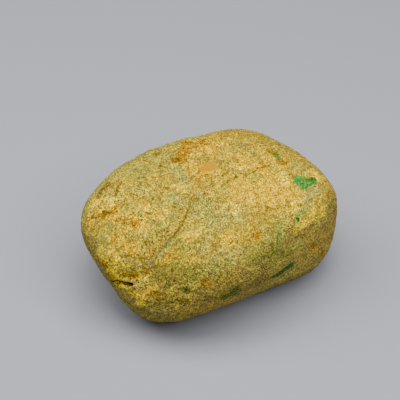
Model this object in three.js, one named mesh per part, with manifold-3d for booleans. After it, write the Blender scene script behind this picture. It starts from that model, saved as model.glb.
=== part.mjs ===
// A river-worn jadeite pebble: one piece of stone, about 110 mm long, with a sandy weathered crust.
//
// The stone began as a broken block, and the river rounded every edge of it. The model follows that
// order: a block of flat faces is worn round, shallow hollows and an old healed crack are worn into
// it, pits and the open end of the crack are cut, and the underside is ground to the small flat spot
// that the stone rests on. Lengths are millimetres, +Z is up, +X runs along the stone, and the origin
// is on the ground under the middle of the stone's box.
//
// Places on the stone are given from its heart as an azimuth, counted from +X towards +Y, and a tilt
// above the horizon, both in degrees.

import * as THREE from 'three';
import { mergeVertices } from 'three/addons/utils/BufferGeometryUtils.js';
import { ImprovedNoise } from 'three/addons/math/ImprovedNoise.js';
import Module from 'manifold-3d';

const wasm = await Module();
wasm.setup();

// The faces of the broken block. distance is how far each lies from the heart of the stone.
const BLOCK_FACES = [
  { name: 'top', azimuth: -60, tilt: 84, distance: 27 },
  { name: 'bottom', azimuth: 0, tilt: -90, distance: 27 },
  { name: 'front', azimuth: -76, tilt: 6, distance: 39.5 },
  { name: 'front, leaning under', azimuth: -95, tilt: -40, distance: 34.5 },
  { name: 'front left', azimuth: -125, tilt: 14, distance: 43.5 },
  { name: 'shoulder, front left', azimuth: -116, tilt: 48, distance: 35.8 },
  { name: 'toe, front left', azimuth: -144, tilt: -42, distance: 52.7 },
  { name: 'left end, leaning under', azimuth: 174, tilt: -24, distance: 46.6 },
  { name: 'corner, back left', azimuth: 150, tilt: 2, distance: 59 },
  { name: 'shoulder, back left', azimuth: 118, tilt: 30, distance: 44.3 },
  { name: 'back', azimuth: 85, tilt: 0, distance: 43 },
  { name: 'shoulder, back', azimuth: 79, tilt: 43, distance: 38.6 },
  { name: 'shoulder, back right', azimuth: 22, tilt: 37, distance: 46.6 },
  { name: 'right end', azimuth: 0, tilt: 15, distance: 57 },
  { name: 'right end, leaning under', azimuth: 8, tilt: -46, distance: 54.5 },
  { name: 'back, leaning under', azimuth: 82, tilt: -44, distance: 44.5 },
  { name: 'corner, front right', azimuth: -32, tilt: -5, distance: 56.6 },
];
const EDGE_HARDNESS = 8; // higher keeps the block's edges, lower wears them rounder

// Broad hollows, and low swellings where depth is negative. reach is the radius of the worn place.
const HOLLOWS = [
  { name: 'under the front edge', azimuth: -86, tilt: -12, reach: 15, depth: 1.6 },
  { name: 'beside the crack at the left end', azimuth: -164, tilt: 3, reach: 8, depth: 1.0 },
  { name: 'swelling in front of the crack', azimuth: -116, tilt: 58, reach: 9, depth: -0.5 },
  { name: 'swelling on the toe', azimuth: -134, tilt: -6, reach: 12, depth: -0.7 },
  { name: 'back, upper', azimuth: 98, tilt: 8, reach: 16, depth: 1.5 },
  { name: 'back, low at the right', azimuth: 48, tilt: -22, reach: 13, depth: 1.4 },
  { name: 'right end, low', azimuth: -8, tilt: -28, reach: 12, depth: 1.1 },
  { name: 'top, towards the back', azimuth: 110, tilt: 66, reach: 12, depth: 0.6 },
  { name: 'belly under the middle', azimuth: 40, tilt: -85, reach: 24, depth: -1.5 },
];

// The healed crack: a step that crosses the front left of the top and opens at the left end.
const CRACK_PATH = [
  [-157, 10],
  [-151, 14],
  [-148, 19],
  [-149, 24],
  [-146, 30],
  [-146, 36],
  [-143, 41],
  [-144, 47],
  [-142, 52],
  [-147, 58],
];
const CRACK_STEPS = 60; // points measured along the crack
const CRACK_DEPTH = 1.4; // at the crack itself
const CRACK_WALL = 2.6; // width of the steep side, towards the left end
const CRACK_RISE = 9; // width over which the other side climbs back
const GROOVE = { width: 1.3, depth: 0.7 }; // the hairline along the bottom of the step

// Where the crack is still open: a lens-shaped cleft, turned from level by turn.
const CLEFT = { azimuth: -159, tilt: 9, length: 11, width: 2.4, depth: 2.6, turn: 20 };

// Low ledges, where harder layers stand a little proud.
const LEDGES = [
  { from: [-18, 58], to: [-28, 36], height: 0.55, width: 2.6 },
  { from: [-45, 62], to: [-36, 44], height: 0.45, width: 2.4 },
  { from: [168, 44], to: [176, 22], height: 0.5, width: 2.6 },
  { from: [60, 10], to: [104, -8], height: 0.6, width: 3.0 },
];
const LEDGE_STEPS = 24;

// Pits where softer grains fell out. radius is that of the mouth, which stretch lengthens one way.
const PITS = [
  { azimuth: -12, tilt: 46, radius: 2.4, depth: 0.8, stretch: 1.5, turn: 20 },
  { azimuth: 112, tilt: 50, radius: 1.7, depth: 0.6, stretch: 1.6, turn: 70 },
  { azimuth: 93, tilt: 58, radius: 1.6, depth: 0.6, stretch: 1.3, turn: -30 },
  { azimuth: -131, tilt: 6, radius: 2.0, depth: 0.7, stretch: 1.6, turn: 10 },
  { azimuth: -120, tilt: 1, radius: 1.5, depth: 0.5, stretch: 1.4, turn: 40 },
  { azimuth: 166, tilt: 20, radius: 1.9, depth: 0.6, stretch: 1.5, turn: -50 },
  { azimuth: -60, tilt: -24, radius: 2.2, depth: 0.8, stretch: 1.4, turn: 0 },
  { azimuth: 20, tilt: -8, radius: 2.3, depth: 0.8, stretch: 1.5, turn: 60 },
  { azimuth: 62, tilt: 14, radius: 1.9, depth: 0.7, stretch: 1.3, turn: -20 },
  { azimuth: 128, tilt: -12, radius: 2.2, depth: 0.8, stretch: 1.6, turn: 15 },
];
const PIT_ROUGHNESS = { wavelength: 1.6, height: 0.25 };

// The unevenness that no single name fits: wavelength and height of each size of it.
const UNEVENNESS = [
  { wavelength: 26, height: 0.7 },
  { wavelength: 11, height: 0.35 },
  { wavelength: 6, height: 0.16 },
];

const FLAT_SPOT_CUT = 0.8; // how much of the lowest point is ground away to make the flat spot
const SURFACE_DETAIL = 18; // subdivisions of the icosahedron that the stone is shaped from
const PIT_DETAIL = 3;
const CLEFT_SEGMENTS = 16;
const BEYOND = 200; // larger than the stone, for the block that grinds its base

const CRUST = { color: 0xb79a52, roughness: 0.88, metalness: 0 };

const noise = new ImprovedNoise();

// The unit vector towards a place on the stone.
function towards(azimuth, tilt) {
  const a = THREE.MathUtils.degToRad(azimuth);
  const t = THREE.MathUtils.degToRad(tilt);
  return new THREE.Vector3(Math.cos(a) * Math.cos(t), Math.sin(a) * Math.cos(t), Math.sin(t));
}

// The rounded block. Each face adds more the nearer the ray comes to leaving through it, and the
// power sum blends them where they meet, as wear rounds an edge.
const faceNormals = BLOCK_FACES.map((face) => towards(face.azimuth, face.tilt));
function onBlock(direction) {
  let sum = 0;
  BLOCK_FACES.forEach((face, i) => {
    sum += Math.max(0, direction.dot(faceNormals[i]) / face.distance) ** EDGE_HARDNESS;
  });
  return direction.clone().multiplyScalar(sum ** (-1 / EDGE_HARDNESS));
}

function placeOnBlock({ azimuth, tilt }) {
  return onBlock(towards(azimuth, tilt));
}

const bell = (distance, reach) => Math.exp(-((distance / reach) ** 2));

const hollows = HOLLOWS.map((hollow) => ({ ...hollow, centre: placeOnBlock(hollow) }));
function hollowDepth(point) {
  return hollows.reduce((sum, h) => sum + h.depth * bell(point.distanceTo(h.centre), h.reach), 0);
}

// A smooth random height at a point. Each size of it starts elsewhere in the noise.
function roughness(point, { wavelength, height }) {
  const p = point.clone().divideScalar(wavelength).addScalar(wavelength);
  return height * noise.noise(p.x, p.y, p.z);
}

const unevenDepth = (point) => UNEVENNESS.reduce((sum, size) => sum + roughness(point, size), 0);

// The nearest of a row of points to a point, with how far along the row it is, from 0 to 1.
function nearest(points, point) {
  let best = 0;
  points.forEach((p, i) => {
    if (p.distanceToSquared(point) < points[best].distanceToSquared(point)) best = i;
  });
  return { index: best, along: best / (points.length - 1), distance: points[best].distanceTo(point) };
}

const crackCurve = new THREE.CatmullRomCurve3(CRACK_PATH.map(([a, t]) => onBlock(towards(a, t))));
const crackPoints = crackCurve.getSpacedPoints(CRACK_STEPS);
function crackDepth(point) {
  const { index, along, distance } = nearest(crackPoints, point);
  const ahead = crackPoints[Math.min(index + 1, CRACK_STEPS)];
  const behind = crackPoints[Math.max(index - 1, 0)];
  const across = ahead.clone().sub(behind).cross(crackPoints[index]);
  const side = across.dot(point.clone().sub(crackPoints[index])); // positive where it climbs slowly
  const fade = 1 - along ** 4;
  return CRACK_DEPTH * fade * bell(distance, side > 0 ? CRACK_RISE : CRACK_WALL);
}

const ledges = LEDGES.map((ledge) => {
  const from = towards(...ledge.from);
  const to = towards(...ledge.to);
  const points = Array.from({ length: LEDGE_STEPS + 1 }, (_, i) =>
    onBlock(from.clone().lerp(to, i / LEDGE_STEPS).normalize()),
  );
  return { ...ledge, points };
});
function ledgeHeight(point) {
  return ledges.reduce((sum, { points, height, width }) => {
    const { along, distance } = nearest(points, point);
    return sum + height * Math.sin(Math.PI * (0.1 + 0.8 * along)) * bell(distance, width);
  }, 0);
}

// The whole outer surface before anything is cut.
function onStone(direction) {
  const point = onBlock(direction);
  const depth = hollowDepth(point) + crackDepth(point) + unevenDepth(point) - ledgeHeight(point);
  return point.addScaledVector(direction, -depth);
}

// The shape alone, with every corner that faces share kept once.
function bareGeometry(geometry) {
  geometry.deleteAttribute('normal');
  geometry.deleteAttribute('uv');
  return mergeVertices(geometry, 1e-4);
}

// A closed three.js geometry as a solid for cutting.
function solidOf(geometry) {
  const bare = bareGeometry(geometry);
  return new wasm.Manifold(
    new wasm.Mesh({
      numProp: 3,
      vertProperties: new Float32Array(bare.attributes.position.array),
      triVerts: new Uint32Array(bare.index.array),
    }),
  );
}

function geometryOf(solid) {
  const mesh = solid.getMesh();
  const geometry = new THREE.BufferGeometry();
  geometry.setAttribute('position', new THREE.BufferAttribute(mesh.vertProperties, 3));
  geometry.setIndex(new THREE.BufferAttribute(mesh.triVerts, 1));
  geometry.computeVertexNormals();
  return geometry;
}

function wornBlock() {
  const geometry = bareGeometry(new THREE.IcosahedronGeometry(1, SURFACE_DETAIL));
  const position = geometry.attributes.position;
  const direction = new THREE.Vector3();
  for (let i = 0; i < position.count; i += 1) {
    const { x, y, z } = onStone(direction.fromBufferAttribute(position, i).normalize());
    position.setXYZ(i, x, y, z);
  }
  return solidOf(geometry);
}

// Lays a cutter on the stone: its Z outwards, its X turned from level by the stated angle.
function layOnStone(geometry, { azimuth, tilt, turn }, lift = 0) {
  const outwards = towards(azimuth, tilt);
  const level = new THREE.Vector3(0, 0, 1).cross(outwards).normalize();
  const along = level.applyAxisAngle(outwards, THREE.MathUtils.degToRad(turn));
  const across = outwards.clone().cross(along);
  const centre = onStone(outwards).addScaledVector(outwards, lift);
  const frame = new THREE.Matrix4().makeBasis(along, across, outwards).setPosition(centre);
  return solidOf(geometry.applyMatrix4(frame));
}

// A rough ball that bites a shallow pit of the stated mouth and depth out of the surface.
function pitCutter(pit) {
  const ball = (pit.radius ** 2 + pit.depth ** 2) / (2 * pit.depth);
  const geometry = bareGeometry(new THREE.IcosahedronGeometry(ball, PIT_DETAIL));
  const position = geometry.attributes.position;
  const point = new THREE.Vector3();
  for (let i = 0; i < position.count; i += 1) {
    point.fromBufferAttribute(position, i);
    const seedPoint = point.clone().addScalar(pit.azimuth);
    point.setLength(ball + roughness(seedPoint, PIT_ROUGHNESS));
    position.setXYZ(i, point.x * pit.stretch, point.y, point.z);
  }
  return layOnStone(geometry, pit, ball - pit.depth);
}

function cleftCutter({ length, width, depth, ...place }) {
  const geometry = new THREE.SphereGeometry(1, CLEFT_SEGMENTS, CLEFT_SEGMENTS / 2);
  return layOnStone(geometry.scale(length / 2, width / 2, depth), place);
}

// A diamond-shaped bar that follows the bottom of the crack and cuts its hairline.
function grooveCutter({ width, depth }) {
  const path = CRACK_PATH.map(([azimuth, tilt]) => onStone(towards(azimuth, tilt)));
  const diamond = new THREE.Shape([
    new THREE.Vector2(0, -width / 2),
    new THREE.Vector2(depth, 0),
    new THREE.Vector2(0, width / 2),
    new THREE.Vector2(-depth, 0),
  ]);
  const extrudePath = new THREE.CatmullRomCurve3(path);
  return solidOf(
    new THREE.ExtrudeGeometry(diamond, { steps: CRACK_STEPS, extrudePath, bevelEnabled: false }),
  );
}

// The ground, as a block that takes everything below the flat spot.
function groundBlock(lowest) {
  const geometry = new THREE.BoxGeometry(BEYOND, BEYOND, BEYOND);
  return solidOf(geometry.translate(0, 0, lowest + FLAT_SPOT_CUT - BEYOND / 2));
}

function pebbleGeometry() {
  const worn = wornBlock();
  const lowest = worn.boundingBox().min[2];
  const cutters = [...PITS.map(pitCutter), cleftCutter(CLEFT), grooveCutter(GROOVE), groundBlock(lowest)];
  const geometry = geometryOf(cutters.reduce((solid, cutter) => solid.subtract(cutter), worn));
  geometry.computeBoundingBox();
  const { min, max } = geometry.boundingBox;
  return geometry.translate(-(min.x + max.x) / 2, -(min.y + max.y) / 2, -min.z);
}

const pebble = new THREE.Mesh(pebbleGeometry(), new THREE.MeshStandardMaterial(CRUST));
pebble.name = 'pebble';

const stone = new THREE.Group();
stone.add(pebble);

export default stone;
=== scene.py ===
# %% [markdown]
# A river-worn jadeite pebble, dressed in its weathered crust.
#
# Raw jade hardly ever looks like jade. A river rolls a broken block until every edge is round, and
# damp soil rots its outermost millimetres to a sandy, rust-stained crust. Only a few spots let the
# green through. The frame below holds the plain solid of the stone. This lesson wraps a much finer
# skin round it, weathers that skin with displacement, and colours it with one layered material.

# %% Load the frame
import math
import bpy
import numpy as np
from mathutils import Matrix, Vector


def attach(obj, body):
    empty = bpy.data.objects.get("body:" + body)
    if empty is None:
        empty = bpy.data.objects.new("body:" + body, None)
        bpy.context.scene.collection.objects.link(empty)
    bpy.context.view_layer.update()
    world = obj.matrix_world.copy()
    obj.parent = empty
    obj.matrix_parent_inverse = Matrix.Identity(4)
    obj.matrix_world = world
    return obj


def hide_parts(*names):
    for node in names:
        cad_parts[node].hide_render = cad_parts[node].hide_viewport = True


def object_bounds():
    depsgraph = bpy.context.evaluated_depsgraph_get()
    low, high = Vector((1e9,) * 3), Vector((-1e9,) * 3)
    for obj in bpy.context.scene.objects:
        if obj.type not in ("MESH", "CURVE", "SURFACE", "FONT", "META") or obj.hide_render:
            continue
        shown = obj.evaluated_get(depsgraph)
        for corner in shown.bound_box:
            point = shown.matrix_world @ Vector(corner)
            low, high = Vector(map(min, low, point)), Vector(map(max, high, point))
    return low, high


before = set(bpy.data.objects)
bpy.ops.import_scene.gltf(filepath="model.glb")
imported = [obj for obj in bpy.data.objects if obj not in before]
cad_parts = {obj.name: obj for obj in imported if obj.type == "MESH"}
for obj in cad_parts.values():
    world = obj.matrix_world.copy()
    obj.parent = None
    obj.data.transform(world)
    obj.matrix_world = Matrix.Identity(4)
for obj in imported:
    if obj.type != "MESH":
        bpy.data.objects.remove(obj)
cad_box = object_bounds()
cad_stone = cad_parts["pebble"]
MM = 0.001
size_mm = (cad_box[1] - cad_box[0]) / MM
print("the stone is", " x ".join(f"{length:.1f}" for length in size_mm), "mm")

# %% [markdown]
# The camera is made first, because marks on the stone are placed by where the photograph shows
# them. A long lens from half a metre away, looking down at 45 degrees, gives the flat perspective
# of a product photograph. The camera could be turned by trial and error. Working out where it has
# to look, so that the middle of the stone lands on its own pixel, is exact and repeatable.

# %% The camera
IMAGE_SIDE = 400
CAMERA_AZIMUTH = math.radians(-30)
CAMERA_ELEVATION = math.radians(45)
CAMERA_DISTANCE = 500 * MM
PIXELS_PER_MM = 2.42  # at the middle of the stone
SENSOR_WIDTH = 36
STONE_MIDDLE = Vector((0, 0, 27 * MM))
STONE_MIDDLE_PIXEL = (208, 221)

focal_pixels = PIXELS_PER_MM * CAMERA_DISTANCE / MM
towards_camera = Vector((
    math.sin(CAMERA_AZIMUTH) * math.cos(CAMERA_ELEVATION),
    -math.cos(CAMERA_AZIMUTH) * math.cos(CAMERA_ELEVATION),
    math.sin(CAMERA_ELEVATION),
))
image_right = Vector((math.cos(CAMERA_AZIMUTH), math.sin(CAMERA_AZIMUTH), 0))
image_up = towards_camera.cross(image_right)
aside = (IMAGE_SIDE / 2 - STONE_MIDDLE_PIXEL[0]) * MM / PIXELS_PER_MM
above = (STONE_MIDDLE_PIXEL[1] - IMAGE_SIDE / 2) * MM / PIXELS_PER_MM
camera_place = STONE_MIDDLE + towards_camera * CAMERA_DISTANCE
looks_at = STONE_MIDDLE + image_right * aside + image_up * above

bpy.ops.object.camera_add(location=camera_place)
camera = bpy.context.object
camera.name = "camera"
camera.rotation_euler = (looks_at - camera_place).to_track_quat("-Z", "Y").to_euler()
camera.data.sensor_width = SENSOR_WIDTH
camera.data.lens = focal_pixels * SENSOR_WIDTH / IMAGE_SIDE
camera.data.clip_start = 10 * MM
bpy.context.scene.camera = camera
bpy.context.view_layer.update()
print(f"a {camera.data.lens:.0f} mm lens")

# %% [markdown]
# An operator works on whatever is selected, so two helpers come first. One picks a single object,
# as a click on it would. The other adds a modifier and applies it at once, so that each step of the
# shaping is settled before the next begins.

# %% Helpers for shaping
def pick(piece):
    if bpy.context.mode != "OBJECT":
        bpy.ops.object.mode_set(mode="OBJECT")
    bpy.ops.object.select_all(action="DESELECT")
    piece.select_set(True)
    bpy.context.view_layer.objects.active = piece


def modify(piece, kind, **settings):
    pick(piece)
    modifier = piece.modifiers.new(kind.lower(), kind)
    for name, value in settings.items():
        setattr(modifier, name, value)
    bpy.ops.object.modifier_apply(modifier=modifier.name)


def corners(piece):
    flat = np.empty(3 * len(piece.data.vertices))
    piece.data.vertices.foreach_get("co", flat)
    return flat.reshape(-1, 3)


# %% [markdown]
# The frame's stone has facets about 3 mm long, too coarse for a crust whose grains are under one
# millimetre. Cutting those facets smaller would keep their uneven triangles. Instead a ball of even
# four-sided faces, made from a cube, is stretched to the stone's size and shrunk onto it, as a
# wetsuit is pulled on. The wrap is done on a merged copy, since the frame's own mesh stays as it is.

# %% Wrap a fine skin round the stone
SKIN_LEVELS = 7  # four times as many faces for each level: half a millimetre a face at 7
SMOOTH_PASSES = 45  # enough to lose the 3 mm facets
WELD = 0.001 * MM  # corners closer than this become one
ROOM = 1.04  # how much larger than the stone the ball starts

target = bpy.data.objects.new("wrap_target", cad_stone.data.copy())
bpy.context.collection.objects.link(target)
pick(target)
bpy.ops.object.mode_set(mode="EDIT")
bpy.ops.mesh.select_all(action="SELECT")
bpy.ops.mesh.remove_doubles(threshold=WELD)
bpy.ops.object.mode_set(mode="OBJECT")

pick(target)
bpy.ops.mesh.primitive_cube_add(size=1, location=STONE_MIDDLE)
rind = bpy.context.object
rind.name = rind.data.name = "rind"
modify(rind, "SUBSURF", levels=SKIN_LEVELS, render_levels=SKIN_LEVELS)
bpy.ops.object.mode_set(mode="EDIT")
bpy.ops.mesh.select_all(action="SELECT")
bpy.ops.transform.tosphere(value=1)
bpy.ops.object.mode_set(mode="OBJECT")
rind.dimensions = [ROOM * length * MM for length in size_mm]
bpy.ops.object.transform_apply(location=True, rotation=True, scale=True)
modify(
    rind, "SHRINKWRAP", target=target, wrap_method="PROJECT",
    use_positive_direction=True, use_negative_direction=True,
)
modify(rind, "SMOOTH", factor=0.5, iterations=SMOOTH_PASSES)
bpy.data.objects.remove(target)
bpy.ops.object.shade_smooth()
skin = corners(rind)
print(len(rind.data.polygons), "faces in the skin")

# %% [markdown]
# A natural stone is full of single marks: a crack, a green spot, a rust stain. Painting them would
# need a picture. Here each mark is a short line that a helper finds on the skin, by the pixel where
# the photograph shows it or, on the hidden sides, by a direction from the heart of the stone. The
# distance from that line, measured at every corner of the skin, then serves two ends: it steers the
# relief here and it is stored for the material, which colours a ragged patch round the line.

# %% Find places on the skin and measure from them
def seen_at(x, y):
    """The place on the skin that the photograph shows at this pixel."""
    across = image_axes[0] * (x - IMAGE_SIDE / 2) + image_axes[1] * (IMAGE_SIDE / 2 - y)
    ray = (image_axes[2] * focal_pixels + across).normalized()
    hit, place, _, _ = rind.ray_cast(camera_place, ray)
    if not hit:
        raise ValueError(f"no stone at pixel {x}, {y}")
    return place


def towards(azimuth, tilt):
    """The direction with this azimuth, counted from +X, and this tilt above the horizon."""
    across = math.cos(tilt)
    return Vector((math.cos(azimuth) * across, math.sin(azimuth) * across, math.sin(tilt)))


def facing(azimuth, tilt):
    """The place on the skin in this direction from the heart of the stone, in degrees."""
    return rind.ray_cast(STONE_MIDDLE, towards(math.radians(azimuth), math.radians(tilt)))[1]


def distance_mm(line):
    """How far every corner of the skin is from a line of places, in millimetres."""
    nearest = np.full(len(skin), np.inf)
    places = [np.array(place) for place in line]
    for start, end in zip(places, places[1:] or places):
        course = end - start
        length = max(course @ course, 1e-12)
        share = np.clip((skin - start) @ course / length, 0, 1)
        gap = skin - start - share[:, None] * course
        nearest = np.minimum(nearest, np.sqrt((gap ** 2).sum(1)))
    return nearest / MM


camera_axes = camera.matrix_world.to_3x3()
image_axes = (camera_axes.col[0], camera_axes.col[1], -camera_axes.col[2])
print("the middle of the photograph shows", seen_at(200, 200))

# %% [markdown]
# The old crack healed long ago: pale crystals filled it, and only a hairline is left, which opens to
# a small cleft at the left end. Its course is a row of pixels read off the photograph. Sculpting by
# hand would do as well, but a brush made of numbers can be run again: the weight of each corner
# falls off with its distance from the crack, and a Displace modifier sinks the skin by that weight.

# %% Sink the crack and its cleft
CRACK = [(190, 202), (189, 208), (187, 213), (184, 221), (179, 229), (173, 237), (166, 246),
         (158, 255), (155, 263), (152, 271), (143, 279), (132, 285)]
CLEFT = [(112, 281.5), (117, 281), (123, 282.5), (130, 284.5)]
CLEFT_HOLLOW = [(124, 284.5), (129, 285)]  # the recess below the cleft
CLEFT_END = [(129.5, 284.8), (131.2, 285)]  # its deep right end
CLEFT_SILL = [(120, 287), (127, 289), (134, 287)]  # the lip below the hole stands a little proud
LEAST_WEIGHT = 0.004  # corners that would move less than this are left out


def sink(name, weights, depth_mm):
    """Pushes the skin in by depth_mm where the weight is 1, or out where depth_mm is negative."""
    group = rind.vertex_groups.new(name=name)
    for corner in np.flatnonzero(weights > LEAST_WEIGHT):
        group.add([int(corner)], float(weights[corner]), "REPLACE")
    modify(rind, "DISPLACE", vertex_group=name, strength=-depth_mm * MM, mid_level=0.0)
    bpy.ops.object.vertex_group_remove(all=True)
    print(name, "moves", int((weights > 0.1).sum()), "corners by", depth_mm, "mm")


def bell(distance, reach):
    return np.exp(-((distance / reach) ** 2))


from_crack = distance_mm([seen_at(x, y) for x, y in CRACK])
from_cleft = distance_mm([seen_at(x, y) for x, y in CLEFT])
from_hollow = distance_mm([seen_at(x, y) for x, y in CLEFT_HOLLOW])
from_end = distance_mm([seen_at(x, y) for x, y in CLEFT_END])
from_sill = distance_mm([seen_at(x, y) for x, y in CLEFT_SILL])
sink("crack", bell(from_crack, 0.45), 0.25)
sink("cleft", bell(from_cleft, 0.4), 0.45)
sink("cleft_hollow", bell(from_hollow, 1.0), 0.6)
sink("cleft_end", bell(from_end, 0.6), 1.1)
sink("cleft_sill", bell(from_sill, 1.0), -0.35)

# %% [markdown]
# Soft minerals rot out first and leave pits, and the layers of the rock show as low steps. Each pit
# below is a radius, a depth and a place; those on the far sides are given by direction. They are
# all pressed at once, because every corner can carry the sum of its pits as one weight.

# %% Press the pits and the low steps
PITS_SEEN = [
    (0.9, 0.50, (157, 154)), (0.9, 0.50, (175, 161)), (0.6, 0.40, (139, 178)), (0.7, 0.40, (166, 188)),
    (0.7, 0.45, (148, 214)), (0.6, 0.60, (174, 203)), (0.5, 0.50, (173, 207)), (1.4, 0.60, (186, 291)),
    (1.3, 0.60, (272, 152)), (0.8, 0.45, (312, 180)), (0.7, 0.50, (159, 281)), (0.6, 0.50, (168, 285)),
    (0.8, 0.55, (174, 282)), (0.6, 0.45, (165, 291)), (0.9, 0.50, (100, 194)), (0.8, 0.45, (104, 215)),
    (0.7, 0.50, (192, 199)), (0.6, 0.45, (197, 201)), (0.6, 0.40, (249, 181)), (0.6, 0.40, (208, 199)),
    (0.7, 0.45, (260, 206)), (0.7, 0.45, (232, 228)), (0.7, 0.45, (264, 249)), (0.6, 0.45, (243, 260)),
    (0.8, 0.50, (218, 268)), (0.7, 0.45, (201, 268)), (0.6, 0.40, (128, 244)), (0.8, 0.45, (141, 236)),
]
PITS_HIDDEN = [
    (1.0, 0.60, (44, 30)), (0.8, 0.50, (60, 5)), (1.2, 0.60, (82, 22)), (0.7, 0.50, (100, -8)),
    (0.9, 0.50, (118, 12)), (0.7, 0.45, (136, 24)), (1.1, 0.60, (12, 6)), (0.8, 0.50, (-8, -14)),
    (0.7, 0.45, (30, -22)), (0.8, 0.50, (72, -24)), (0.6, 0.45, (150, -6)), (0.9, 0.50, (55, -38)),
]
STEPS_SEEN = [
    [(215, 187), (224, 182), (233, 178), (244, 175)], [(246, 175), (256, 172), (265, 169)],
    [(160, 166), (168, 168)], [(120, 180), (118, 187), (116, 195)], [(98, 196), (103, 189), (109, 184)],
    [(168, 288), (176, 284), (184, 285)],
]
STEPS_HIDDEN = [
    [(98, 34), (104, 26), (106, 16)], [(40, 12), (52, 9), (64, 10)], [(70, -14), (84, -10), (96, -14)],
    [(5, -8), (16, -5), (26, -8)],
]
STEP_DEPTH = 0.5
STEP_REACH = 0.5  # how far to each side of its line a step is pressed, in millimetres

pits = [(radius, depth, seen_at(*spot)) for radius, depth, spot in PITS_SEEN]
pits += [(radius, depth, facing(*spot)) for radius, depth, spot in PITS_HIDDEN]
steps = [[seen_at(*spot) for spot in line] for line in STEPS_SEEN]
steps += [[facing(*spot) for spot in line] for line in STEPS_HIDDEN]
pressed = sum(depth * bell(distance_mm([spot]), radius) for radius, depth, spot in pits)
pressed += sum(STEP_DEPTH * bell(distance_mm(line), STEP_REACH) for line in steps)
sink("pits_and_steps", np.minimum(pressed, 1), 1.0)

# %% [markdown]
# Weathering works at several sizes at once: lumps where harder patches stand proud, a granular skin
# of loosened crystals, and a fine sandy tooth. Each size is a Displace modifier of its own with a
# procedural texture, sized in millimetres. One noise with many octaves would be shorter, but each
# real layer has its own look, so separate layers are easier to match to the photograph.

# %% Weather the skin
def weather(name, size_mm, relief_mm, **settings):
    made = bpy.data.textures.new(name, "CLOUDS")
    made.noise_scale = size_mm * MM
    for key, value in settings.items():
        setattr(made, key, value)
    modify(rind, "DISPLACE", texture=made, texture_coords="LOCAL", strength=relief_mm * MM,
           mid_level=0.5)
    print(name, "every", size_mm, "mm, relief", relief_mm, "mm")


weather("lumps", 9, 0.9, noise_depth=2)
weather("knobs", 3.2, 0.35, noise_depth=1)
weather("grains", 1.5, 0.30, noise_depth=2, noise_type="HARD_NOISE")
weather("tooth", 0.75, 0.22, noise_depth=1)

# %% [markdown]
# A stone that stands still has a worn spot underneath. The weathering above roughened that spot and
# pushed parts of it below the floor, so the lowest corners are now pressed flat onto the floor. A
# boolean cut would do too, but scaling the height of a few corners to nothing keeps the mesh whole.

# %% Flatten the rest spot
REST_LAYER = 0.4  # corners this low, in millimetres, touch the floor

pick(rind)
bpy.ops.object.mode_set(mode="EDIT")
bpy.ops.mesh.select_mode(type="VERT")
bpy.ops.mesh.select_all(action="DESELECT")
bpy.ops.object.mode_set(mode="OBJECT")
resting = corners(rind)[:, 2] < REST_LAYER * MM
rind.data.vertices.foreach_set("select", resting)
bpy.ops.object.mode_set(mode="EDIT")
bpy.ops.transform.resize(value=(1, 1, 0), center_override=(0, 0, 0))
bpy.ops.object.mode_set(mode="OBJECT")
skin = corners(rind)
print(int(resting.sum()), "corners rest on the floor, the lowest at", skin[:, 2].min(), "m")
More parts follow.
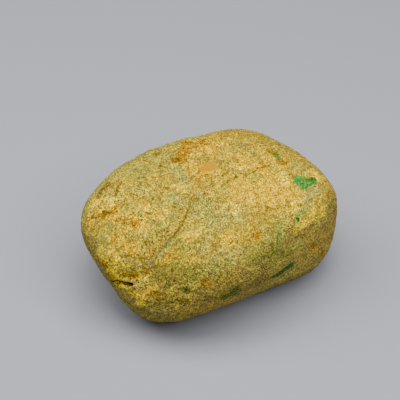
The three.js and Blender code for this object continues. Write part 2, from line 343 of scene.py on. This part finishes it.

# %% [markdown]
# Every other mark on this stone is a stain or a window in the crust, but for two that are painted
# shade: a dark band on the lower flanks and round the underside, and the dark hollow of the cleft.
# A mark is a radius in millimetres, a faintness from 0, solid, to 1, hardly there, and a short line
# of places. A faintness below 0 makes a mark solid out past its rim. What gets stored on the skin is
# one number for each kind of mark: 0 in the middle of a solid mark, 1 at its rim, more outside. A
# vertex colour could store the finished colour, but a bare distance lets the material give each rim
# its own ragged, grainy edge, finer than the mesh.

# %% Store the marks for the material
SEEN = {
    "warm": [
        (8.0, 0.35, [(192, 146), (212, 146)]), (9.0, 0.20, [(246, 188), (286, 190)]),
        (6.0, 0.45, [(113, 236), (134, 250)]), (5.0, 0.45, [(146, 205), (162, 214)]),
        (6.0, 0.30, [(194, 170), (208, 172)]), (4.0, 0.50, [(95, 202), (104, 214)]),
        (3.5, 0.45, [(150, 270), (166, 264)]), (3.0, 0.65, [(140, 292), (150, 296)]),
        (5.0, 0.45, [(262, 152), (284, 166)]), (7.0, 0.30, [(246, 162), (266, 172)]),
        (4.0, 0.55, [(225, 238), (258, 240)]), (6.0, 0.35, [(112, 214), (140, 222)]),
        (2.4, 0.15, [(160, 266), (168, 259)]), (2.0, 0.20, [(149, 290), (154, 293)]),
        (3.0, 0.30, [(229, 243), (236, 247)]), (5.0, 0.50, [(228, 152), (240, 158)]),
    ],
    "grey": [
        (6.0, 0.40, [(199, 202), (212, 220), (236, 216)]), (4.0, 0.35, [(176, 171), (184, 179)]),
        (3.0, 0.40, [(135, 190), (141, 192)]), (2.6, 0.30, [(175, 198), (180, 203)]),
        (4.2, 0.30, [(315, 188), (309, 199), (303, 210)]), (2.4, 0.30, [(299, 242), (303, 246)]),
        (2.2, 0.35, [(214, 262), (209, 275)]), (5.0, 0.50, [(184, 286), (205, 286)]),
        (2.2, 0.45, [(127, 270), (131, 271)]), (6.0, 0.50, [(204, 252), (214, 256), (240, 252)]),
        (4.0, 0.55, [(104, 250), (118, 262)]), (6.0, 0.50, [(288, 222), (302, 226)]),
        (3.5, 0.50, [(222, 148), (232, 153)]), (5.0, 0.50, [(314, 222), (326, 216)]),
    ],
    "moss": [
        (6.0, 0.35, [(254, 256), (284, 254)]), (2.6, 0.50, [(122, 222), (129, 222)]),
        (3.8, 0.40, [(300, 182), (311, 181)]), (3.0, 0.40, [(297, 218), (303, 214)]),
        (2.0, 0.35, [(277, 155), (279, 158)]), (2.2, 0.40, [(278, 224), (278, 240)]),
        (1.8, 0.50, [(227, 262), (231, 264)]), (5.0, 0.45, [(176, 243), (190, 244)]),
        (4.0, 0.60, [(140, 300), (150, 306)]), (7.0, 0.30, [(160, 272), (176, 268), (194, 274)]),
        (4.5, 0.50, [(126, 166), (146, 152)]), (4.0, 0.55, [(138, 170), (142, 184)]),
        (3.0, 0.60, [(216, 296), (240, 282)]), (5.0, 0.60, [(142, 194), (156, 204)]),
        (4.0, 0.35, [(202, 206), (208, 216)]),
    ],
    "pale": [
        (3.2, 0.35, [(278, 175), (284, 180)]), (0.9, 0.10, [(240, 169), (245, 165)]),
        (2.2, 0.55, [(225, 147), (229, 153)]), (3.4, 0.60, [(228, 204), (238, 210)]),
        (4.0, 0.55, [(188, 238), (200, 230)]), (3.0, 0.55, [(108, 205), (112, 200)]),
        (6.0, 0.55, [(106, 256), (122, 268), (140, 278)]),
        (1.2, 0.35, [(216, 186), (222, 182)]), (4.0, 0.50, [(294, 210), (300, 202)]),
        (6.0, 0.50, [(300, 226), (322, 206)]), (4.0, 0.55, [(312, 170), (320, 180)]),
        (4.0, 0.60, [(174, 186), (184, 190)]), (1.4, 0.60, [(292, 180), (293, 187)]),
        (4.0, 0.50, [(132, 292), (142, 300)]), (4.0, 0.50, [(100, 252), (109, 268), (120, 284)]),
    ],
    "crystal": [
        (1.0, 0.0, [(171, 238), (168, 243), (165.5, 248)]), (0.9, -0.1, [(159, 253), (161, 255)]),
        (0.8, 0.0, [(153, 261), (150.5, 269)]), (0.6, 0.1, [(134, 286), (139, 284)]),
        (2.6, 0.62, [(315, 188), (309, 198), (304, 207)]), (1.1, 0.50, [(300, 241), (303, 245)]),
        (1.0, -0.1, [(281, 278.5), (288, 274.5), (293, 270)]), (0.7, 0.40, [(214, 266), (211, 272)]),
        (0.4, 0.2, [(147, 282), (152, 278), (157, 275)]),
    ],
    "green": [
        (2.0, -0.15, [(300, 180.5), (303, 184)]), (1.2, 0.30, [(277, 155.5), (278.5, 158)]),
        (1.6, 0.05, [(303, 180.5), (313, 181.5)]), (1.2, 0.10, [(288, 267.5), (292, 265)]),
    ],
    "mint": [
        (3.4, 0.40, [(296, 218), (303, 213)]), (1.9, 0.45, [(278, 224), (279, 242)]),
        (3.4, 0.45, [(298, 181), (307, 184)]), (1.4, 0.45, [(124, 223), (127, 221)]),
        (2.2, 0.55, [(286, 270), (292, 268)]), (3.0, 0.62, [(170, 198), (176, 202)]),
        (4.0, 0.66, [(176, 168), (186, 178)]), (2.0, 0.70, [(290, 248), (296, 252)]),
    ],
    "deep": [
        (1.2, 0.15, [(308, 180), (313, 180)]), (1.0, 0.55, [(300, 184), (303, 183)]),
        (1.1, -0.3, [(275, 276), (284, 270), (290, 266)]),
        (1.3, -0.2, [(226, 297), (233, 293), (238, 290)]), (4.5, 0.80, [(265, 246), (277, 254)]),
        (1.4, 0.20, [(184, 291), (188, 291)]), (0.6, 0.2, [(297, 219), (299, 220)]),
        (0.5, 0.50, [(170, 240), (167, 245)]),
    ],
    "gold": [
        (1.5, 0.0, [(205, 169), (208, 165), (213, 165.5)]), (0.8, 0.25, [(202, 171), (216, 168)]),
        (2.8, 0.72, [(203, 168), (213, 166)]),
    ],
    "rust": [
        (2.4, 0.00, [(187, 144), (183, 152), (181, 159)]), (1.3, 0.40, [(145, 161), (150, 162)]),
        (4.0, 0.45, [(188, 149), (205, 142)]), (2.2, 0.35, [(195, 177), (200, 180)]),
        (2.6, 0.45, [(255, 231), (257, 240)]), (1.8, 0.30, [(203, 282), (208, 284)]),
        (3.6, 0.60, [(311, 247), (323, 255)]), (1.5, 0.35, [(103, 262), (105, 265)]),
        (1.0, 0.25, [(168, 232), (170, 234)]), (1.0, 0.35, [(168, 254), (170, 256)]),
        (1.1, 0.35, [(152, 257), (155, 254)]), (1.2, 0.45, [(138, 256), (141, 259)]),
        (1.0, 0.40, [(145, 268), (146, 273)]), (1.5, 0.35, [(132, 276), (138, 277)]),
        (2.6, 0.50, [(156, 293), (166, 300)]), (1.4, 0.45, [(327, 189), (328, 197)]),
        (6.0, 0.65, [(104, 212), (136, 222)]), (1.4, 0.40, [(280, 160), (285, 162)]),
        (1.6, 0.50, [(188, 169), (192, 176)]), (1.6, 0.55, [(199, 164), (198, 174), (206, 175)]),
    ],
    "brown": [
        (1.4, 0.20, [(98, 197), (104, 188), (109, 183)]), (1.7, 0.25, [(101, 216), (107, 213)]),
        (1.0, 0.40, [(92, 218), (95, 218)]), (0.6, 0.15, [(121, 181), (118, 188), (116, 196)]),
        (1.6, 0.20, [(269, 150), (275, 154)]), (1.4, 0.25, [(276, 161), (284, 163)]),
        (1.3, 0.0, [(156, 154), (158, 154)]), (1.5, 0.0, [(174, 161), (177, 160)]),
        (0.6, 0.20, [(160, 166), (168, 168)]), (0.7, 0.30, [(139, 177), (140, 179)]),
        (0.8, 0.25, [(165, 188), (168, 188)]), (0.8, 0.25, [(146, 214), (151, 214)]),
        (0.7, 0.0, [(174, 203), (175, 204)]), (0.5, 0.0, [(173, 207), (174, 207)]),
        (2.4, 0.45, [(159, 299), (169, 302)]), (4.0, 0.55, [(158, 298), (188, 301)]),
        (1.0, 0.20, [(191, 199), (198, 200)]), (0.8, 0.30, [(222, 186), (230, 180), (238, 176)]),
        (0.6, 0.25, [(239, 173), (250, 174.5), (259, 168), (274, 164)]),
        (0.7, 0.30, [(248, 181), (255, 182)]), (1.0, 0.35, [(265, 206), (270, 209)]),
        (1.2, 0.45, [(223, 298), (230, 295)]),
    ],
    # painted shade: a dark band along the lower front flank
    "painted_low_shade": [
        (5.0, 0.35, [(160, 298), (200, 298), (228, 292), (262, 280)]),
        (1.0, 0.20, [(170, 240), (167, 246)]),
        (6.0, 0.50, [(160, 276), (178, 280), (196, 278), (226, 280)]),
    ],
}
HIDDEN = {
    "warm": [(7.0, 0.4, [(38, -4), (60, -8)]), (6.0, 0.5, [(108, 30), (125, 30)]),
             (5.0, 0.5, [(0, -10), (12, -12)]), (5.0, 0.5, [(70, 40), (86, 34)])],
    "grey": [(5.0, 0.45, [(130, 2), (138, 6)]), (5.0, 0.5, [(90, 18), (100, 14)]),
             (4.0, 0.45, [(35, 5), (42, 0)]), (4.0, 0.5, [(72, -12), (80, -16)])],
    "moss": [(5.0, 0.5, [(100, 4), (112, 2)]), (3.4, 0.5, [(44, 22), (50, 26)]),
             (4.0, 0.5, [(-12, -8), (-4, -12)]), (4.0, 0.55, [(146, 10), (152, 4)])],
    "pale": [(3.0, 0.4, [(22, -2), (28, 0)]), (4.0, 0.55, [(70, 2), (84, -2)]),
             (3.0, 0.5, [(124, 22), (130, 18)])],
    "crystal": [(0.9, 0.0, [(61, 31), (65, 27)]), (0.8, 0.05, [(68, 23), (70, 18)]),
                (0.8, 0.3, [(33, 6), (40, 1)])],
    "green": [(2.4, 0.05, [(50, 15), (56, 17)]), (1.4, 0.3, [(96, -4), (100, -2)]),
              (1.8, 0.4, [(12, -18), (16, -15)]), (1.0, 0.45, [(76, 40), (84, 34)])],
    "mint": [(3.4, 0.3, [(48, 14), (58, 18)]), (2.4, 0.4, [(94, -5), (102, -1)]),
             (2.0, 0.4, [(30, 8), (38, 4)]), (2.6, 0.5, [(120, -12), (132, -12)])],
    "deep": [(0.9, 0.1, [(57, 17), (60, 18)]), (1.2, 0.05, [(118, -16), (126, -14), (134, -15)])],
    "gold": [(2.0, 0.05, [(84, 8), (88, 9)])],
    "rust": [(2.6, 0.4, [(30, 25), (36, 29)]), (2.0, 0.4, [(75, 33), (80, 30)]),
             (1.6, 0.3, [(110, 20), (118, 16)]), (2.4, 0.45, [(0, 6), (6, 2)]),
             (2.0, 0.4, [(140, 8), (147, 13)]), (1.2, 0.3, [(64, -4), (70, -9)])],
    "brown": [(1.3, 0.3, [(66, -12), (74, -10), (80, -14)]), (1.2, 0.3, [(20, 12), (24, 8)]),
              (0.6, 0.1, [(98, 34), (104, 26), (106, 16)]), (1.6, 0.35, [(130, -2), (136, -6)]),
              (3.0, 0.6, [(90, -24), (110, -26)])],
    # painted shade: a dark ring round the underside
    "painted_low_shade": [(8.0, 0.1, [(spoke, -32) for spoke in range(-60, 181, 15)])],
}
FAR = 4  # farther out than this many radii, a mark no longer matters
FAINTNESS = 1.4  # what a faintness of 1 adds to a mark's number
OPEN_POINTS = 6  # so many points of the crack hold dirt, and crystals fill the rest


def store(name, values):
    attribute = rind.data.attributes.new(name, "FLOAT", "POINT")
    attribute.data.foreach_set("value", np.minimum(values, FAR).astype(np.float32))
    print(name, "covers", f"{(values < 1).mean():.1%}", "of the skin")


for kind, marks in SEEN.items():
    lines = [(radius, faint, [seen_at(*spot) for spot in line]) for radius, faint, line in marks]
    lines += [(radius, faint, [facing(*spot) for spot in line])
              for radius, faint, line in HIDDEN[kind]]
    store(kind, np.minimum.reduce([FAINTNESS * faint + distance_mm(line) / radius
                                   for radius, faint, line in lines]))
open_crack = distance_mm([seen_at(x, y) for x, y in CRACK[:OPEN_POINTS]])
store("crack", open_crack / 0.4)
# the cleft's hairline is a dark joint; its hollow and deep end are darkened as painted shade
store("cleft", np.minimum.reduce([0.6 + from_cleft / 0.4, 1.15 + from_hollow / 1.7,
                                  from_end / 0.5]))

# %% [markdown]
# The crust is rotted jadeite: interlocked crystals loosened by weather and dyed by iron from the
# soil. To the eye that is a matt, sandy ochre with dark gaps between the grains, no gloss, and a
# hue that drifts over centimetres. The steep sides get painted shade: a darker, greyer colour.
# The material is built in layers: the drift, the painted shade on the steep sides, the marks, and
# then the grains over all of it, because a stain colours the grains but never hides them. Two
# helpers serve it: one turns a hex colour to linear light, the other adds a node and fills its
# inputs with numbers or with earlier outputs.

# %% The drift of the crust's colour
def linear(code):
    """A colour from its sRGB hex code, turned linear."""
    channels = [int(code[i:i + 2], 16) / 255 for i in (1, 3, 5)]
    return (*[c / 12.92 if c <= 0.04045 else ((c + 0.055) / 1.055) ** 2.4 for c in channels], 1)


crust = bpy.data.materials.new("weathered_jadeite_crust")
crust.use_nodes = True
tree = crust.node_tree
tree.nodes.clear()


def add(kind, links, **settings):
    """Adds a node, sets its properties, and fills its inputs with values or with other outputs."""
    made = tree.nodes.new(kind)
    for name, value in settings.items():
        setattr(made, name, value)
    for socket, value in links.items():
        if isinstance(value, bpy.types.NodeSocket):
            tree.links.new(value, made.inputs[socket])
        else:
            made.inputs[socket].default_value = value
    return made


OCHRE = linear("#91751C")
OLIVE = linear("#867B30")
UMBER = linear("#836720")
STRAW = linear("#B09625")
STEEP_SHADE_COLOUR = linear("#7C6C42")  # painted shade: the colour of the steep sides, darker and greyer than the top
STEEP_SHADE_SHARE = 0.6  # how much of the ground the painted shade hides on the steepest sides
STEEP_SHADE_STARTS = 0.75  # where the surface faces upwards this much, 1 being level
STEEP_SHADE_FULL = 0.2
LAYERS = (0, math.radians(-20), math.radians(10))  # how the layers of the rock lie
STRETCH = 2.2  # a streak along the layers is this much longer than it is thick

place = add("ShaderNodeTexCoord", {}).outputs["Object"]
layered = add("ShaderNodeMapping", {"Vector": place, "Rotation": LAYERS,
                                    "Scale": (STRETCH, 1, 1)}, vector_type="TEXTURE").outputs[0]


def noise(size_mm, detail, low, high, most=1.0):
    """A noise sized in millimetres, stretched so that low to high spans 0 to the most."""
    made = add("ShaderNodeTexNoise", {"Vector": layered, "Scale": 1 / (size_mm * MM),
                                      "Detail": detail})
    return add("ShaderNodeMapRange", {"Value": made.outputs[0], "From Min": low, "From Max": high,
                                      "To Max": most}).outputs[0]


def mix(share, under, over, blend="MIX"):
    return add("ShaderNodeMix", {0: share, 6: under, 7: over}, data_type="RGBA",
               blend_type=blend).outputs[2]


colour = mix(noise(13, 3, 0.40, 0.62), OCHRE, OLIVE)
colour = mix(noise(4.5, 3, 0.50, 0.70, most=0.6), colour, UMBER)
colour = mix(noise(3.1, 3, 0.54, 0.74, most=0.5), colour, STRAW)
upright = add("ShaderNodeSeparateXYZ", {0: add("ShaderNodeNewGeometry", {}).outputs["Normal"]})
steep = add("ShaderNodeMapRange", {"Value": upright.outputs["Z"], "From Min": STEEP_SHADE_STARTS,
                                   "From Max": STEEP_SHADE_FULL, "To Max": STEEP_SHADE_SHARE},
            interpolation_type="SMOOTHSTEP").outputs[0]
# painted shade: the steeper the surface, the more of the darker, greyer colour it takes
colour = mix(steep, colour, STEEP_SHADE_COLOUR)
print("the ground colour is mixed from four, in streaks", STRETCH, "times as long as thick")

# %% [markdown]
# The marks are laid one over the other: first the broad warm and dull patches, then the crystals
# and the green windows of the rock itself, then the stains of the soil, then a band of painted shade
# on the lower flanks, last the dirt in the crack and the painted shade in the cleft's hollow.
# Each one reads its number from the skin, roughens it with noise and with the chance tone of each
# grain, and turns it into a mask. A painted mask would need a picture; this one works at any size.

# %% Lay the marks on the ground colour
GRAIN = 0.7 * MM
MASK_FULL = 1.35  # where a mark's number and its roughening add up to less, the mark is whole
MASK_ENDS = 2.0
DYE_SHARE = 0.2  # how much the tone of each grain roughens a rim

cells = add("ShaderNodeTexVoronoi", {"Vector": place, "Scale": 1 / GRAIN})
dye = add("ShaderNodeSeparateColor", {"Color": cells.outputs["Color"]}).outputs["Red"]
ragged = noise(1.9, 2, 0.35, 0.70, most=1.1)
ragged = add("ShaderNodeMath", {0: dye, 1: DYE_SHARE, 2: ragged}, operation="MULTIPLY_ADD").outputs[0]


def mark(under, name, code, strength, grainy=1.0):
    """Lays one kind of mark over a colour, and gives back the new colour and the mark's mask."""
    stored = add("ShaderNodeAttribute", {}, attribute_name=name).outputs["Fac"]
    rim = add("ShaderNodeMath", {0: ragged, 1: grainy, 2: stored}, operation="MULTIPLY_ADD")
    mask = add("ShaderNodeMapRange", {"Value": rim.outputs[0], "From Min": MASK_ENDS, "From Max": MASK_FULL,
                                      "To Max": strength}, interpolation_type="SMOOTHSTEP")
    return mix(mask.outputs[0], under, linear(code)), mask.outputs[0]


colour, _ = mark(colour, "warm", "#B28B00", 0.90)
colour, _ = mark(colour, "grey", "#887B3A", 0.75)
colour, _ = mark(colour, "moss", "#6B6829", 0.60)
colour, _ = mark(colour, "pale", "#CCA704", 0.85)
colour, _ = mark(colour, "crystal", "#8C8244", 0.85)
colour, _ = mark(colour, "mint", "#6F8238", 0.65)
colour, on_green = mark(colour, "green", "#336C2E", 0.92, grainy=0.7)
colour, _ = mark(colour, "deep", "#344A1A", 0.95)
colour, _ = mark(colour, "rust", "#855C06", 0.90)
colour, _ = mark(colour, "brown", "#58420F", 0.75)
# painted shade: darkens the lower flanks and the underside
colour, _ = mark(colour, "painted_low_shade", "#594F26", 0.50, grainy=0.6)
colour, _ = mark(colour, "crack", "#4F4118", 0.70, grainy=0.7)
# painted shade: darkens the cleft's hollow and deep end; the hairline is a dark joint
colour, _ = mark(colour, "cleft", "#2A1E06", 0.85, grainy=0.4)

# %% [markdown]
# The grains: in the photograph a grain is one or two pixels, which is 0.4 to 0.8 mm. Cell noise
# gives each grain its own tone, as each crystal takes the dye differently, and a finer noise
# breaks the cells up. Together they make one number, the tone, from 0 for the dark gap where a
# crystal fell out to 1 for a fresh pale crystal. The same number drives colour, bump and gloss,
# so that what looks like a gap also shades like one. The crust is looser in some places than in
# others, which strengthens or weakens the grains over centimetres, and the green windows are the
# firmest. One spot of orange clay is laid on last, since it fills the gaps and hides the grains.

# %% The grains over everything
CHIP = 0.38 * MM  # a grain is often broken into chips of half its size
GAP = (0.16, 0.16, 0.50, 1)  # what is left of the ground colour in a gap
FRESH = (2.85, 3.15, 1.0, 1)  # how much lighter a fresh crystal is

chips = add("ShaderNodeTexVoronoi", {"Vector": place, "Scale": 1 / CHIP}).outputs["Color"]
chip = add("ShaderNodeSeparateColor", {"Color": chips}).outputs["Green"]
tone = add("ShaderNodeMath", {0: chip, 1: 0.7, 2: noise(1.6, 3, 0.3, 0.7, most=0.2)},
           operation="MULTIPLY_ADD").outputs[0]
tone = add("ShaderNodeMath", {0: dye, 1: 0.1, 2: tone}, operation="MULTIPLY_ADD").outputs[0]
loose = add("ShaderNodeMath", {0: noise(8, 2, 0.38, 0.62, most=0.30), 1: 0.70}).outputs[0]
loose = add("ShaderNodeMath", {0: on_green, 1: -0.4, 2: loose}, operation="MULTIPLY_ADD").outputs[0]
in_gap = add("ShaderNodeMapRange", {"Value": tone, "From Min": 0.45, "From Max": 0.12,
                                    "To Max": loose}, interpolation_type="SMOOTHSTEP").outputs[0]
is_fresh = add("ShaderNodeMapRange", {"Value": tone, "From Min": 0.52, "From Max": 0.85,
                                      "To Max": loose}, interpolation_type="SMOOTHSTEP").outputs[0]
colour = mix(in_gap, colour, GAP, "MULTIPLY")
colour = mix(is_fresh, colour, FRESH, "MULTIPLY")
colour, _ = mark(colour, "gold", "#AF7C00", 1.0)  # a clay filling, smoother than the crust
print("a grain is", GRAIN / MM, "mm wide")

# %% [markdown]
# Jadeite has an index of refraction of 1.66, but the loosened crust scatters light instead of
# mirroring it, so its specular level is far below the usual and its roughness is high. A trace of
# sheen stands for dry dust. Fresh crystals and the green windows are smoother. The finest relief,
# under half a millimetre, would need millions of faces, so it is a bump, driven by the tone.

# %% The crust's shine and finest relief
BUMP = 0.34 * MM
GAP_ROUGHNESS = 0.95
FRESH_ROUGHNESS = 0.65
GREEN_ROUGHNESS = 0.5

rough = add("ShaderNodeMapRange", {"Value": tone, "From Min": 0.3, "From Max": 0.9,
                                   "To Min": GAP_ROUGHNESS, "To Max": FRESH_ROUGHNESS}).outputs[0]
rough = add("ShaderNodeMix", {0: on_green, 2: rough, 3: GREEN_ROUGHNESS},
            data_type="FLOAT").outputs[0]
relief = add("ShaderNodeBump", {"Height": tone, "Strength": 1.0, "Distance": BUMP}).outputs[0]
surface = add("ShaderNodeBsdfPrincipled", {
    "Base Color": colour, "Roughness": rough, "IOR": 1.66, "Specular IOR Level": 0.03,
    "Sheen Weight": 0.02, "Sheen Roughness": 0.5, "Normal": relief,
})
add("ShaderNodeOutputMaterial", {"Surface": surface.outputs[0]})
rind.data.materials.append(crust)
print(len(tree.nodes), "nodes in the crust")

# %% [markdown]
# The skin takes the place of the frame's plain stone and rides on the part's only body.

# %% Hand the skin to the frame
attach(rind, "root")
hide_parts("pebble")

# %% [markdown]
# The set is a plain studio table: pale matt paper, lit by three large soft boxes, one overhead, one
# from the left and one from the front right. A bigger light gives a softer shadow, so each is half
# a metre wide. The sky gives no light at all, which keeps the shadow under the stone deep.

# %% Floor and light
PAPER = linear("#8B8D94")  # one plain grey
FLOOR_SIDE = 4  # in metres
SOFTBOX_SIDE = 0.5  # in metres, like the distance
SOFTBOX_DISTANCE = 0.8
SOFTBOX_AIM = Vector((0, 0, 20 * MM))  # a place inside the stone
LIGHTS = {  # azimuth and height above the horizon in degrees, then energy in watts
    "overhead": (0, 90, 8.3),
    "left": (150, 55, 5.3),
    "front_right": (-75, 55, 6.1),
}

bpy.ops.object.select_all(action="DESELECT")
bpy.ops.mesh.primitive_plane_add(size=FLOOR_SIDE)
floor = bpy.context.object
floor.name = "floor"
paper = bpy.data.materials.new("plain_paper")
paper.use_nodes = True
paper_shader = paper.node_tree.nodes["Principled BSDF"]
paper_shader.inputs["Base Color"].default_value = PAPER
paper_shader.inputs["Roughness"].default_value = 0.9
floor.data.materials.append(paper)

for name, (azimuth, height, energy) in LIGHTS.items():
    direction = towards(math.radians(azimuth), math.radians(height))
    bpy.ops.object.light_add(type="AREA", location=SOFTBOX_AIM + direction * SOFTBOX_DISTANCE)
    softbox = bpy.context.object
    softbox.name = name + "_softbox"
    softbox.rotation_euler = direction.to_track_quat("Z", "Y").to_euler()
    softbox.data.size = SOFTBOX_SIDE
    softbox.data.energy = energy
    print(softbox.name, energy, "W")

world = bpy.data.worlds.new("studio")
bpy.context.scene.world = world
world.use_nodes = True
world.node_tree.nodes["Background"].inputs["Strength"].default_value = 0.0
